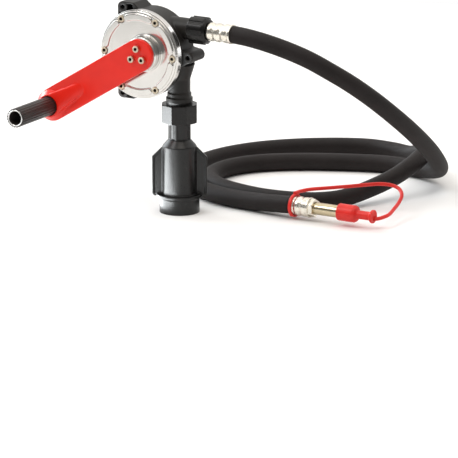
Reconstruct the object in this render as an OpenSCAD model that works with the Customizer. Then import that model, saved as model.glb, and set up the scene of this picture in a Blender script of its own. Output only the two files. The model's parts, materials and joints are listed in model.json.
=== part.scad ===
// Rotary hand transfer pump: a vane pump on a drum adapter, turned by a crank,
// with a telescopic suction tube below the drum seat and a delivery hose lying coiled beside it.
// Origin: the adapter's axis at the drum seat. +Z is up, the crank faces -Y and the outlet points to +X.

/* [Pump head] */
// Distance of the pump body's centre from the suction pipe's axis
body_offset = 47.5; // [46:0.5:49]
// Height of the pump body's centre above the drum seat
body_h = 241; // [238:0.5:260]
// Radius of the pump body
body_r = 65; // [64:0.5:66]
// Depth of the pump body from front face to back face
body_d = 39; // [38:0.5:41]
// Distance of the body's front face in front of the suction pipe's axis
body_front = 25; // [24.5:0.5:26]
// Distance of the crank shaft from the body's centre, towards the ports
shaft_dx = 12.5; // [11:0.5:13]
// Height of the crank shaft above the body's centre
shaft_dz = 4; // [2:0.5:5]
// Radius of the pumping chamber
chamber_r = 44; // [43.5:0.5:45]
// Offset of the chamber's centre from the shaft, away from the ports
chamber_offset = 6.6; // [6.2:0.1:6.8]
// Radius of the inlet and outlet passages
port_r = 10; // [8:0.5:10.5]
// Outer radius of the inlet pipe
inlet_pipe_r = 16.5; // [16:0.5:17]
// Height of the outlet's axis above the body's centre
outlet_rise = 39; // [38:0.5:40]
// Outer radius of the outlet pipe
outlet_pipe_r = 16; // [15:0.5:16.5]

/* [Covers] */
// Radius of the front cover's flange
cover_r = 67; // [66:0.5:70]
// Thickness of the front cover
cover_t = 13; // [12.5:0.5:15]
// Radius of the rear cover
rear_cover_r = 62.5; // [62:0.5:64]
// Thickness of the rear cover
rear_cover_t = 4; // [3:0.5:6]
// Diameter of the circle that the front cover's screws lie on
cover_pcd = 117.5; // [116:0.5:119]
// Diameter of the circle that the rear cover's screws lie on
rear_pcd = 111; // [110:0.5:113]
// Thickness of the paper gaskets under the covers
gasket_t = 0.5; // [0.3:0.1:1]

/* [Mounting lugs] */
// Diameter of the circle that the lug holes lie on
lug_pcd = 150; // [148:1:156]
// Radius of the lug holes
lug_hole_r = 3.5; // [2.5:0.25:4]
// Outer radius of the lug bosses
lug_r = 8.5; // [8:0.25:9]

/* [Rotor] */
// Radius of the rotor
rotor_r = 37; // [36:0.1:37.1]
// Radius of the crank shaft
shaft_r = 8; // [7:0.25:8.5]
// Thickness of each vane
vane_t = 4; // [3:0.25:5]
// Depth of each vane, tip to root
vane_depth = 21; // [18:0.5:22]

/* [Crank] */
// Distance from the shaft's axis to the grip's axis
crank_l = 177; // [150:1:190]
// Angle of the crank below the horizontal
crank_angle = 31.5; // [0:0.5:60]
// Width of the crank lever
lever_w = 49; // [46:0.5:54]
// Thickness of the crank lever
lever_t = 7; // [5:0.25:8]
// Radius of the hub flange behind the lever
hub_r = 26; // [25:0.5:27]
// Length of the hub flange
hub_t = 11.7; // [10:0.1:14]
// Length of the grip in front of the lever
grip_l = 99; // [80:1:120]
// Outer radius of the grip over its ribs
grip_r = 14.3; // [13.8:0.1:15]
// Number of ribs round the grip
grip_ribs = 20; // [12:1:24]

/* [Unions] */
// Width across the flats of the inlet union nut
inlet_nut_af = 52; // [50:0.5:56]
// Height of the inlet union nut
inlet_nut_h = 28; // [26:0.5:30]
// Outer radius of the outlet union nut over its pads
outlet_nut_r = 20.75; // [20.5:0.25:22]
// Length of the outlet union nut
outlet_nut_l = 29; // [28:0.5:29.5]

/* [Drum adapter] */
// Radius of the adapter's barrel
barrel_r = 25.5; // [24.5:0.5:26.5]
// Radius of the adapter's neck
neck_r = 15; // [14.5:0.25:15.5]
// Span of the two gripping wings
wing_span = 82; // [76:1:88]
// Radius of the flange ring above the thread
flange_r = 33.5; // [32:0.5:36]
// Outer radius of the drum thread
thread_r = 29.8; // [28.5:0.1:30]
// Depth of the drum thread below the seat
thread_depth = 20; // [16:1:26]
// Turn of the adapter about its axis
adapter_turn = 30; // [0:5:90]

/* [Suction tube] */
// Outer radius of the upper suction tube
upper_tube_r = 17; // [16.75:0.25:17.5]
// Outer radius of the middle suction tube
middle_tube_r = 15.2; // [15:0.1:15.3]
// Outer radius of the lower suction tube
lower_tube_r = 13.4; // [13:0.1:13.5]
// Wall of each suction tube
tube_wall = 1.5; // [1:0.1:1.6]
// Depth of the upper tube's end below the seat
upper_tube_depth = 258; // [240:2:400]

/* [Delivery hose] */
// Outer radius of the delivery hose
hose_r = 13.2; // [12.8:0.1:13.3]
// Radius of the crimped ferrule at the pump
pump_ferrule_r = 14.2; // [14:0.1:15.5]
// Radius of the crimped ferrule at the nozzle
nozzle_ferrule_r = 14.6; // [14.2:0.1:14.8]
// Outer radius of the nozzle tube
nozzle_r = 9.25; // [9:0.25:10]
// Length of the nozzle tube in front of its collar
nozzle_l = 65; // [60:1:80]
// Outer radius of the rubber cap
cap_r = 12.75; // [12:0.25:13.5]
// Radius of the cap's strap
strap_r = 2.8; // [2:0.1:3]

/* [Hidden] */
$fn = 96;
// Cut-outs run this far past the faces that they open
eps = 0.5;
// Running clearance of a shaft in its bush, on the radius
run = 0.05;
// Clearance between parts that pass each other without touching
clear = 0.3;

// Planes of the head along Y, from front to back
body_y0 = -body_front;
body_y1 = body_y0 + body_d;
cover_y0 = body_y0 - gasket_t - cover_t;
rear_y1 = body_y1 + gasket_t + rear_cover_t;
cover_boss_r = hub_r + 1.5;
cover_boss_t = 4;
hub_y1 = cover_y0 - cover_boss_t - 0.6;
lever_y1 = hub_y1 - hub_t;
lever_y0 = lever_y1 - lever_t;

// Grip
grip_tube_r = 11.8;
grip_tube_wall = 1.5;
grip_end_y = lever_y0 - grip_l;
grip_ring_r = grip_r - 1.7;
grip_ring_t = 3;
grip_ring_lip = 1;

// Angles about the shaft and the body, from +X towards +Z
cover_angles = [for (k = [0 : 5]) 60 * k];
lug_angles = [0, 120, 240];
lever_screw_angles = [for (k = [0 : 2]) 180 + crank_angle + 120 * k];
vane_angles = [for (k = [0 : 2]) 180 + 120 * k];

// Screws
cover_screw_r = 3;
cover_screw_head_r = 5;
cover_screw_head_t = 6;
cover_screw_sink = 4.5;
cover_screw_bite = 9;
rear_screw_r = 2;
rear_screw_head_r = 3.5;
rear_screw_head_t = 3;
rear_screw_bite = 6;
rear_screw_angles = [0, 90, 150, 210, 270];
lever_screw_r = 3;
lever_screw_head_r = 5;
lever_screw_head_t = 5.5;
lever_screw_pcd = 21.5;
screw_socket = 0.6;

// Shaft, bushes and seal
shaft_nose_r = 6.5;
bush_wall = 3;
bush_t = 8;
seal_r = 15;
seal_t = 6;
key_w = 5;
key_l = 24;
key_h = 3;

// Pump passages
inlet_top = body_h - 11;
inlet_port_top = inlet_top - 3;
inlet_flare = 7;
inlet_flare_h = 23;
spigot_shoulder_r = 20;
spigot_thread_r = 19;
spigot_end_z = body_h - 95;
spigot_shoulder_z = [for (rise = [22, 29, 36]) spigot_end_z + rise];
outlet_z = body_h + outlet_rise;
outlet_port_x = -25;
outlet_shoulder_x = 22;
outlet_end_x = 44;
outlet_thread_r = 18;

// Adapter stack, heights above the drum seat
seal_gap = 3;
neck_flange_r = 18.4;
neck_flange_t = 3.5;
neck_top_z = spigot_end_z - seal_gap;
nut_lip = 2.2;
nut_chamfer = 1.5;
nut_z0 = neck_top_z - neck_flange_t - nut_lip - clear;
cone_z1 = 111;
cone_z0 = 101;
flange_z0 = 22.5;
flange_t = 5.5;
wing_t = 3;
wing_bead = 3;
wing_top_z = 84;
wing_bottom_z = 24;

// Suction tubes
tube_top_z = 60;
tube_seal_z = tube_top_z - 14;
tube_seal_w = 2.4;
tube_seal_h = 4.6;
tube_collar_h = 14;
tube_collar_wall = 3;
tube_stub = 16;
strainer_h = 26;
middle_top_z = 18;
lower_top_z = 4;
upper_tube_z0 = -upper_tube_depth;
middle_tube_z0 = upper_tube_z0 - tube_stub;
lower_tube_z0 = middle_tube_z0 - tube_stub;

// Hose, outlet tail and nozzle
tail_bore_r = 7.5;
tail_r = 9.6;
tail_wall = 1.5;
hose_bore_r = 9.7;
outlet_nut_x = outlet_shoulder_x + 1;
outlet_nut_pad_l = 25;
outlet_nut_chamfer = 3;
outlet_nut_lip = 3;
ferrule_x0 = 53;
ferrule_l = 40;
nozzle_y = 50;
nozzle_z = 20;
nozzle_x0 = 165;
nozzle_ferrule_l = 33;
collar_t = 7;
collar_af = 25;
cap_engage = 24;
cap_l = 31;
cap_neck_r = 6.5;
cap_neck_l = 27;
cap_flange_r = 10;
cap_flange_t = 3;
cap_flare = 3.5;
strap_ring_w = 5;
strap_ring_wall = 2.6;

collar_x0 = nozzle_x0 + nozzle_ferrule_l;
nozzle_x1 = collar_x0 + collar_t + nozzle_l;
cap_x0 = nozzle_x1 - cap_engage;
cap_x1 = cap_x0 + cap_l + cap_neck_l;

// Where the hose runs: out of the outlet, down in an arch, and round the drum head in two turns
HOSE_ROUTE = [
    [ferrule_x0 + ferrule_l, 0, outlet_z], [119, 2, 277.5], [151, 7, 271], [181, 14, 262],
    [209, 24, 250], [235, 37, 234], [258, 56, 215], [278, 82, 191], [293, 118, 161], [303, 166, 124],
    [302, 220, 86], [293, 263, 57], [277, 299, 38], [255, 328, 26], [230, 349, 18], [203, 361, 14],
    [169, 366, 13.4], [134, 361, 13.4], [82, 341, 13.4], [25, 311, 13.4], [-22, 272, 13.4], [-46, 228, 13.4],
    [-49, 182, 13.4], [-32, 143, 13.4], [2, 115, 13.4], [46, 99, 13.4], [92, 92, 13.4], [136, 97, 13.4],
    [173, 114, 13.4], [200, 145, 15], [221, 184, 23], [237, 227, 33], [244, 269, 43.5], [241, 309, 50],
    [227, 347, 48], [205, 382, 38], [179, 412, 25], [150, 433, 15], [114, 446, 13.4], [70, 446, 13.4],
    [20, 424, 13.4], [-31, 385, 13.4], [-70, 338, 13.4], [-94, 281, 13.4], [-99, 220, 13.4],
    [-84, 162, 13.4], [-52, 115, 13.4], [-9, 83, 13.4], [36, 66, 13.4], [81, 58, 14.3], [124, 53, 17],
    [nozzle_x0, nozzle_y, nozzle_z],
];
HOSE_SIDES = 10;

// Where the strap runs: from the cap's tail back over the hose to its ring
STRAP_ROUTE = [
    [cap_x1, 51, 16], [310, 61, 16.5], [313, 79, 18], [309, 100, 20.5], [305, 124, 26], [299, 143, 32],
    [289, 153, 38], [275, 155, 41.5], [259, 148, 43], [243, 132, 43], [225, 116, 42], [201, 97, 40.5],
    [180, 79, 39.5], [172, 63, 39], [nozzle_x0 + 4.5, 50, 38.5],
];
STRAP_SIDES = 8;

// A point of the smooth curve through the points p, between points i and i + 1
function curve_point(p, i, t) =
    let (a = p[max(i - 1, 0)], b = p[i], c = p[i + 1], d = p[min(i + 2, len(p) - 1)])
    0.5 * (2 * b + (c - a) * t + (2 * a - 5 * b + 4 * c - d) * t * t + (3 * b - a - 3 * c + d) * t * t * t);

// The centres of a tube's rings, with n rings in each stretch between two points
function curve(p, n) = [
    for (i = [0 : len(p) - 2], k = [0 : n - 1]) curve_point(p, i, k / n),
    p[len(p) - 1],
];

function unit(v) = v / norm(v);

// A ring of points round a centre, square to the direction of travel
function ring(centre, travel, r, sides) =
    let (side = unit(cross(travel, [0, 0, 1])), top = cross(side, travel))
    [for (k = [0 : sides - 1]) centre + r * (cos(360 * k / sides) * side + sin(360 * k / sides) * top)];

// A closed tube swept along a line of ring centres, its two ends square to the given directions
module swept_tube(line, r, sides, first, last) {
    n = len(line);
    function travel(i) = i == 0 ? first : i == n - 1 ? last : unit(line[i + 1] - line[i - 1]);
    points = [for (i = [0 : n - 1]) each ring(line[i], travel(i), r, sides)];
    walls = [
        for (i = [0 : n - 2], k = [0 : sides - 1], half = [0, 1])
            let (a = i * sides + k, b = i * sides + (k + 1) % sides)
            half == 0 ? [a, b, b + sides] : [a, b + sides, a + sides]
    ];
    ends = [[for (k = [0 : sides - 1]) sides - 1 - k], [for (k = [0 : sides - 1]) (n - 1) * sides + k]];
    polyhedron(points, concat(walls, ends));
}

// Places what is drawn about the origin at the crank shaft's axis
module at_shaft() {
    translate([shaft_dx - body_offset, 0, body_h + shaft_dz]) children();
}

// Places what is drawn about the origin at the pump body's centre
module at_body() {
    translate([-body_offset, 0, body_h]) children();
}

// Places what is drawn about the origin at the pumping chamber's axis
module at_chamber() {
    at_shaft() translate([-chamber_offset, 0, 0]) children();
}

// Stands a flat outline in the X-Z plane at y and lets it rise towards the front
module facing_front(y) {
    translate([0, y, 0]) rotate([90, 0, 0]) children();
}

// A round bar about the shaft's axis, from y0 in front to y1 behind
module disc_y(r, y0, y1) {
    facing_front(y1) cylinder(r = r, h = y1 - y0);
}

// A round bar along X from x0 to x1
module bar_x(r, x0, x1) {
    translate([x0, 0, 0]) rotate([0, 90, 0]) cylinder(r = r, h = x1 - x0);
}

// Copies what it holds round an axis along Y
module round_axis(angles, r) {
    for (a = angles) rotate([0, -a, 0]) translate([r, 0, 0]) children();
}

// A socket head screw along Y: its head's front at y0 - head_t, its underside at y0, its tip at y1
module socket_screw(y0, y1, r, head_r, head_t) {
    difference() {
        union() {
            disc_y(head_r, y0 - head_t, y0);
            disc_y(r, y0 - eps, y1);
        }
        facing_front(y0 - head_t * (1 - screw_socket)) cylinder(r = head_r * 0.55, h = head_t, $fn = 6);
    }
}

// Webs meet a boss this far inside its outline
lug_inset = 0.25;

// The web of the upper left lug, from its boss to the body
module corner_lug_web() {
    x = lug_pcd / 2 * cos(120);
    z = lug_pcd / 2 * sin(120);
    edge = lug_r - lug_inset;
    polygon([[x - edge, z], [x - edge, z - 25], [x + 30, z - 15], [x + 30, z - 1], [x + 19, z + edge], [x, z + edge]]);
}

// The pocket that lightens the upper left lug, open to the front
module corner_lug_pocket() {
    x = lug_pcd / 2 * cos(120);
    z = lug_pcd / 2 * sin(120);
    polygon([
        [x - 5.5, z - 2], [x - 5.5, z - 16], [x + 8, z - 9], [x + 19, z - 4], [x + 17, z + 5.5], [x + 3, z + 5.5],
    ]);
}

// The web of the lug beside the outlet
module side_lug_web() {
    x = lug_pcd / 2;
    edge = lug_r - lug_inset;
    polygon([[x, edge], [x - 23, 12.5], [x - 23, -20], [x - 14, -16.5], [x, -edge]]);
}

module pump_body() {
    lug_y0 = body_y0 + 3;
    pocket_d = 14;
    color("#2b2927") difference() {
        union() {
            at_body() {
                disc_y(body_r, body_y0, body_y1);
                round_axis(lug_angles, lug_pcd / 2) disc_y(lug_r, lug_y0, body_y1);
                facing_front(body_y1) linear_extrude(body_y1 - lug_y0) side_lug_web();
                for (m = [0, 1]) mirror([0, 0, m]) difference() {
                    facing_front(body_y1) linear_extrude(body_y1 - lug_y0) corner_lug_web();
                    facing_front(lug_y0 + pocket_d) linear_extrude(pocket_d + eps) difference() {
                        corner_lug_pocket();
                        translate([lug_pcd / 2 * cos(120), lug_pcd / 2 * sin(120)]) circle(r = lug_r - 1.5);
                    }
                }
            }
            // inlet pipe with its flare, shoulders and threaded spigot
            translate([0, 0, spigot_end_z]) cylinder(r = inlet_pipe_r, h = inlet_top - spigot_end_z);
            translate([0, 0, inlet_top - 4 - inlet_flare_h])
                cylinder(r1 = inlet_pipe_r, r2 = inlet_pipe_r + inlet_flare, h = inlet_flare_h);
            translate([0, 0, spigot_end_z])
                cylinder(r = spigot_thread_r, h = spigot_shoulder_z[0] - spigot_end_z);
            translate([0, 0, spigot_shoulder_z[0]])
                cylinder(r = spigot_shoulder_r, h = spigot_shoulder_z[1] - spigot_shoulder_z[0]);
            translate([0, 0, spigot_shoulder_z[1]])
                cylinder(r = spigot_shoulder_r - 2, h = spigot_shoulder_z[2] - spigot_shoulder_z[1]);
            // outlet pipe with its threaded spigot
            translate([0, 0, outlet_z]) {
                bar_x(outlet_pipe_r, outlet_port_x, outlet_end_x);
                bar_x(outlet_thread_r, outlet_shoulder_x, outlet_end_x);
            }
        }
        at_chamber() disc_y(chamber_r, body_y0 - eps, body_y1 + eps);
        at_body() {
            // the rear cover's seat, clear of both pipes
            disc_y(rear_cover_r + clear, body_y1, rear_y1 + inlet_pipe_r);
            round_axis(lug_angles, lug_pcd / 2) disc_y(lug_hole_r, lug_y0 - eps, body_y1 + eps);
            round_axis(cover_angles, cover_pcd / 2)
                disc_y(cover_screw_r + run, body_y0 - eps, body_y0 + cover_screw_bite + 1);
            round_axis(rear_screw_angles, rear_pcd / 2)
                disc_y(rear_screw_r + run, body_y1 - rear_screw_bite - 1, body_y1 + eps);
        }
        // the two passages, each opening into the chamber's side
        translate([0, 0, spigot_end_z - eps]) cylinder(r = port_r, h = inlet_port_top - spigot_end_z + eps);
        translate([0, 0, outlet_z]) bar_x(port_r, outlet_port_x, outlet_end_x + eps);
    }
}

module front_cover() {
    step_r = 2.2;
    step_t = 3;
    back_y = body_y0 - gasket_t;
    arc_in = cover_pcd / 2 - 6.5;
    arc_out = cover_pcd / 2 + 3;
    arc_h = 2.4;
    arc_gap = 11;
    arc_pitch = 360 / len(cover_angles);
    color("#c9c7c1") difference() {
        union() {
            at_body() {
                disc_y(cover_r, cover_y0 + step_t, back_y);
                disc_y(cover_r - step_r, cover_y0, back_y);
                for (a = cover_angles)
                    arc_pad(arc_in, arc_out, a + arc_gap, a + arc_pitch - arc_gap, cover_y0 - arc_h, cover_y0 + eps);
            }
            at_shaft() disc_y(cover_boss_r, cover_y0 - cover_boss_t, back_y);
        }
        at_body() round_axis(cover_angles, cover_pcd / 2) {
            disc_y(cover_screw_r + clear, cover_y0 - eps, back_y + eps);
            disc_y(cover_screw_head_r + clear, cover_y0 - arc_h - eps, cover_y0 + cover_screw_sink);
        }
        // seats of the shaft seal and the front bush
        at_shaft() {
            disc_y(shaft_r + run, cover_y0 - cover_boss_t - eps, back_y + eps);
            disc_y(shaft_r + bush_wall, back_y - bush_t, back_y + eps);
            disc_y(seal_r, cover_y0 - cover_boss_t - eps, cover_y0 - cover_boss_t + seal_t);
        }
    }
}

// A raised arc with round ends, between two radii and two angles, rising from y1 to y0
module arc_pad(r0, r1, a0, a1, y0, y1) {
    end_r = (r1 - r0) / 2 - 0.2;
    past_end = 0.6;
    facing_front(y1) rotate(a0) rotate_extrude(angle = a1 - a0) translate([r0, 0]) square([r1 - r0, y1 - y0]);
    round_axis([a0 - past_end, a1 + past_end], (r0 + r1) / 2) disc_y(end_r, y0, y1);
}

module rear_cover() {
    y0 = body_y1 + gasket_t;
    boss_r = shaft_r + 8;
    boss_t = 6;
    color("#bdbbb5") difference() {
        union() {
            at_body() disc_y(rear_cover_r, y0, rear_y1);
            at_shaft() disc_y(boss_r, y0, rear_y1 + boss_t);
        }
        at_shaft() disc_y(shaft_r + bush_wall, y0 - eps, y0 + bush_t);
        at_body() round_axis(rear_screw_angles, rear_pcd / 2)
            disc_y(rear_screw_r + clear, y0 - eps, rear_y1 + eps);
    }
}

// A paper ring with the chamber's opening and holes for its cover's screws
module gasket(y0, r, angles, pcd, hole_r) {
    difference() {
        at_body() disc_y(r, y0, y0 + gasket_t);
        at_chamber() disc_y(chamber_r, y0 - eps, y0 + gasket_t + eps);
        at_body() round_axis(angles, pcd / 2) disc_y(hole_r, y0 - eps, y0 + gasket_t + eps);
    }
}

module front_gasket() {
    color("#7d6a4a") gasket(body_y0 - gasket_t, body_r - 0.5, cover_angles, cover_pcd, cover_screw_r + clear);
}

module rear_gasket() {
    color("#7d6a4a") gasket(body_y1, rear_cover_r - 0.5, rear_screw_angles, rear_pcd, rear_screw_r + clear);
}

module cover_screws() {
    color("#d6d0c4") at_body() round_axis(cover_angles, cover_pcd / 2)
        socket_screw(cover_y0 + cover_screw_sink, body_y0 + cover_screw_bite, cover_screw_r,
            cover_screw_head_r, cover_screw_head_t);
}

module rear_screws() {
    color("#d6d0c4") at_body() mirror([0, 1, 0]) round_axis(rear_screw_angles, rear_pcd / 2)
        socket_screw(-rear_y1, -body_y1 + rear_screw_bite, rear_screw_r, rear_screw_head_r,
            rear_screw_head_t);
}

module front_bush() {
    y1 = body_y0 - gasket_t;
    color("#a8792f") at_shaft() difference() {
        disc_y(shaft_r + bush_wall, y1 - bush_t, y1);
        disc_y(shaft_r + run, y1 - bush_t - eps, y1 + eps);
    }
}

module rear_bush() {
    y0 = body_y1 + gasket_t;
    color("#a8792f") at_shaft() difference() {
        disc_y(shaft_r + bush_wall, y0, y0 + bush_t);
        disc_y(shaft_r + run, y0 - eps, y0 + bush_t - 1);
    }
}

module shaft_seal() {
    y0 = cover_y0 - cover_boss_t;
    color("#1c1c1c") at_shaft() difference() {
        disc_y(seal_r, y0, y0 + seal_t);
        disc_y(shaft_r + run, y0 - eps, y0 + seal_t + eps);
    }
}

module shaft() {
    key_y = (body_y0 + body_y1) / 2;
    color("#8f9092") at_shaft() difference() {
        union() {
            disc_y(shaft_r, hub_y1 + clear, body_y1 + gasket_t + bush_t - 2);
            disc_y(shaft_nose_r, lever_y1 + clear, hub_y1 + clear + eps);
        }
        translate([-key_w / 2, key_y - key_l / 2, shaft_r - key_h / 2])
            cube([key_w, key_l, key_h]);
    }
}

module rotor_key() {
    key_y = (body_y0 + body_y1) / 2;
    color("#8f9092") at_shaft() translate([-key_w / 2, key_y - key_l / 2, shaft_r - key_h / 2])
        cube([key_w, key_l, key_h]);
}

// One vane about the shaft's axis, drawn in at its slot
module vane(angle) {
    color("#2f3a34") at_shaft() rotate([0, -angle, 0])
        translate([rotor_r - 0.2 - vane_depth, body_y0 + clear, -vane_t / 2])
            cube([vane_depth, body_d - 2 * clear, vane_t]);
}

module rotor() {
    slot_floor = 1;
    color("#54565a") at_shaft() difference() {
        disc_y(rotor_r, body_y0 + clear, body_y1 - clear);
        disc_y(shaft_r, body_y0, body_y1);
        for (a = vane_angles) rotate([0, -a, 0])
            translate([rotor_r - vane_depth - slot_floor, body_y0, -vane_t / 2 - run])
                cube([vane_depth + rotor_r, body_d, vane_t + 2 * run]);
        translate([-key_w / 2, body_y0, 0]) cube([key_w, body_d, shaft_r + key_h / 2]);
    }
}

module vane_1() {
    vane(vane_angles[0]);
}

module vane_2() {
    vane(vane_angles[1]);
}

module vane_3() {
    vane(vane_angles[2]);
}

module hub_flange() {
    step_t = 2.4;
    color("#d2d0ca") at_shaft() difference() {
        union() {
            disc_y(hub_r, hub_y1 - hub_t + step_t, hub_y1);
            disc_y(hub_r - 1, hub_y1 - hub_t, hub_y1);
        }
        disc_y(shaft_nose_r, lever_y1 - eps, hub_y1 + eps);
        round_axis(lever_screw_angles, lever_screw_pcd / 2)
            disc_y(lever_screw_r, lever_y1 - eps, hub_y1 - 1);
    }
}

// The lever is drawn along +X from the shaft's axis, in the X-Z plane
module along_crank() {
    at_shaft() rotate([0, -(180 + crank_angle), 0]) children();
}

module crank_lever() {
    collar_top_r = grip_r + 2.4;
    collar_h = 9;
    ramp_l = 56;
    ramp_tip_r = 9;
    color("#e0301e") along_crank() difference() {
        union() {
            disc_y(lever_w / 2, lever_y0, lever_y1);
            translate([crank_l, 0, 0]) disc_y(lever_w / 2, lever_y0, lever_y1);
            facing_front(lever_y1) translate([0, -lever_w / 2]) linear_extrude(lever_t)
                square([crank_l, lever_w]);
            // the collar that flares out of the plate round the grip
            translate([crank_l, 0, 0]) facing_front(lever_y0)
                cylinder(r1 = lever_w / 2 - 1, r2 = collar_top_r, h = collar_h);
            // the ramp that runs down from the collar towards the hub
            hull() {
                translate([crank_l, 0, 0]) disc_y(collar_top_r, lever_y0 - collar_h, lever_y0, $fn = 32);
                translate([crank_l - ramp_l, 0, 0]) disc_y(ramp_tip_r, lever_y0 - 0.1, lever_y0, $fn = 32);
            }
        }
        // the grip's pocket in the collar and the tube's bore in the plate
        translate([crank_l, 0, 0]) {
            disc_y(grip_r + 0.6, lever_y0 - collar_h - eps, lever_y0);
            disc_y(grip_tube_r, lever_y0 - eps, lever_y1 + eps);
        }
        round_axis([0, 120, 240], lever_screw_pcd / 2)
            disc_y(lever_screw_r + clear, lever_y0 - eps, lever_y1 + eps);
    }
}

module lever_screws() {
    color("#d6d0c4") at_shaft() round_axis(lever_screw_angles, lever_screw_pcd / 2)
        socket_screw(lever_y0, hub_y1 - 1, lever_screw_r, lever_screw_head_r, lever_screw_head_t);
}

module grip_tube() {
    flange_r = grip_tube_r + 3;
    flange_t = 2;
    color("#aeb0b2") along_crank() translate([crank_l, 0, 0]) difference() {
        union() {
            disc_y(grip_tube_r, grip_end_y, lever_y1);
            disc_y(flange_r, lever_y1, lever_y1 + flange_t);
        }
        disc_y(grip_tube_r - grip_tube_wall, grip_end_y - eps, lever_y1 + flange_t + eps);
    }
}

module grip_sleeve() {
    groove_r = 1.6;
    y0 = grip_end_y - grip_ring_lip + clear;
    y1 = lever_y0 - clear;
    color("#3a3735") along_crank() translate([crank_l, 0, 0]) difference() {
        disc_y(grip_r, y0, y1);
        disc_y(grip_tube_r + run, y0 - eps, y1 + eps);
        // the pocket round the end ring
        disc_y(grip_ring_r + clear, y0 - eps, grip_end_y + grip_ring_t + clear);
        for (k = [0 : grip_ribs - 1]) rotate([0, -360 * (k + 0.5) / grip_ribs, 0])
            translate([grip_r + groove_r / 2, 0, 0]) disc_y(groove_r, y0 - eps, y1 + eps, $fn = 16);
    }
}

module grip_ring() {
    color("#e4e4e2") along_crank() translate([crank_l, 0, 0]) difference() {
        disc_y(grip_ring_r, grip_end_y - grip_ring_lip, grip_end_y + grip_ring_t);
        disc_y(grip_tube_r - 1.2, grip_end_y - grip_ring_lip - eps, grip_end_y + eps);
        disc_y(grip_tube_r, grip_end_y, grip_end_y + grip_ring_t + eps);
    }
}

// The octagon with its flats this far apart, one flat facing the front when turn is 0
module octagon(af, turn) {
    rotate(22.5 + turn) circle(r = af / 2 / cos(22.5), $fn = 8);
}

module inlet_union_nut() {
    chamfer_r = inlet_nut_af / 2 + 0.4;
    color("#2a2a2b") difference() {
        intersection() {
            translate([0, 0, nut_z0]) linear_extrude(inlet_nut_h) octagon(inlet_nut_af, adapter_turn);
            // the chamfer on the corners, at the top and at the bottom
            translate([0, 0, nut_z0]) rotate_extrude() polygon([
                [0, 0], [chamfer_r, 0], [chamfer_r + 2 * nut_chamfer, nut_chamfer],
                [chamfer_r + 2 * nut_chamfer, inlet_nut_h - nut_chamfer], [chamfer_r, inlet_nut_h],
                [0, inlet_nut_h],
            ]);
        }
        translate([0, 0, nut_z0 + nut_lip]) cylinder(r = spigot_thread_r + clear, h = inlet_nut_h);
        translate([0, 0, nut_z0 - eps]) cylinder(r = neck_r + clear + 2.5, h = inlet_nut_h);
    }
}

module inlet_seal() {
    color("#1a1a1a") translate([0, 0, neck_top_z]) difference() {
        cylinder(r = neck_flange_r - 0.4, h = seal_gap);
        translate([0, 0, -eps]) cylinder(r = port_r + 1, h = seal_gap + 2 * eps);
    }
}

// One gripping wing: a thin plate with a thicker bead along its free edge
module wing() {
    half = wing_span / 2;
    slope_r = half - (cone_z0 - wing_top_z);
    root = barrel_r - 6;
    chamfer = 3;
    facing_front(wing_t / 2) linear_extrude(wing_t) polygon([
        [root, wing_bottom_z], [half - chamfer, wing_bottom_z], [half, wing_bottom_z + chamfer],
        [half, wing_top_z], [slope_r, cone_z0], [neck_r, cone_z1], [neck_r - 2, cone_z0 - 6],
        [root, cone_z0 - 12],
    ]);
    facing_front(wing_t) linear_extrude(2 * wing_t) polygon([
        [half - wing_bead, wing_bottom_z + chamfer + 1], [half, wing_bottom_z + chamfer + 1], [half, wing_top_z],
        [slope_r, cone_z0], [slope_r - wing_bead * 1.2, cone_z0 - wing_bead * 0.9],
        [half - wing_bead, wing_top_z - wing_bead * 0.4],
    ]);
}

module bung_adapter() {
    bore_r = upper_tube_r + run;
    rib_w = 3.6;
    rib_out = neck_r + 2.2;
    rib_turn = -105;
    color("#262626") rotate(adapter_turn) difference() {
        union() {
            translate([0, 0, neck_top_z - neck_flange_t]) cylinder(r = neck_flange_r, h = neck_flange_t);
            translate([0, 0, cone_z1 - eps]) cylinder(r = neck_r, h = neck_top_z - cone_z1);
            for (k = [0 : 3]) rotate(rib_turn + 90 * k)
                translate([0, -rib_w / 2, cone_z1 - 7]) cube([rib_out, rib_w, nut_z0 - cone_z1 + 6]);
            translate([0, 0, cone_z0]) cylinder(r1 = barrel_r, r2 = neck_r + 1.6, h = cone_z1 - cone_z0);
            translate([0, 0, flange_z0]) cylinder(r = barrel_r, h = cone_z0 - flange_z0);
            for (m = [0, 1]) mirror([m, 0, 0]) wing();
            translate([0, 0, flange_z0]) cylinder(r = flange_r, h = flange_t);
            translate([0, 0, -thread_depth]) cylinder(r = thread_r, h = thread_depth + flange_z0);
        }
        // the suction tube's socket, the seal's groove and the passage above them
        translate([0, 0, -thread_depth - eps]) cylinder(r = bore_r, h = tube_top_z + thread_depth + eps);
        translate([0, 0, tube_seal_z]) cylinder(r = upper_tube_r + tube_seal_w + run, h = tube_seal_h + 2 * run);
        translate([0, 0, tube_top_z]) cylinder(r1 = bore_r - tube_wall, r2 = port_r + 1, h = 20);
        translate([0, 0, tube_top_z - eps]) cylinder(r = port_r + 1, h = neck_top_z);
    }
}

module adapter_seal() {
    color("#1a1a1a") translate([0, 0, tube_seal_z + run]) difference() {
        cylinder(r = upper_tube_r + tube_seal_w, h = tube_seal_h);
        translate([0, 0, -eps]) cylinder(r = upper_tube_r, h = tube_seal_h + 2 * eps);
    }
}

// A plain tube from z0 up to z1
module tube_z(r_out, r_in, z0, z1) {
    translate([0, 0, z0]) difference() {
        cylinder(r = r_out, h = z1 - z0);
        translate([0, 0, -eps]) cylinder(r = r_in, h = z1 - z0 + 2 * eps);
    }
}

module upper_tube() {
    color("#8d8f91") tube_z(upper_tube_r, upper_tube_r - tube_wall, upper_tube_z0, tube_top_z);
}

module middle_tube() {
    color("#9b9da0") tube_z(middle_tube_r, middle_tube_r - tube_wall, middle_tube_z0, middle_top_z);
}

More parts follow.
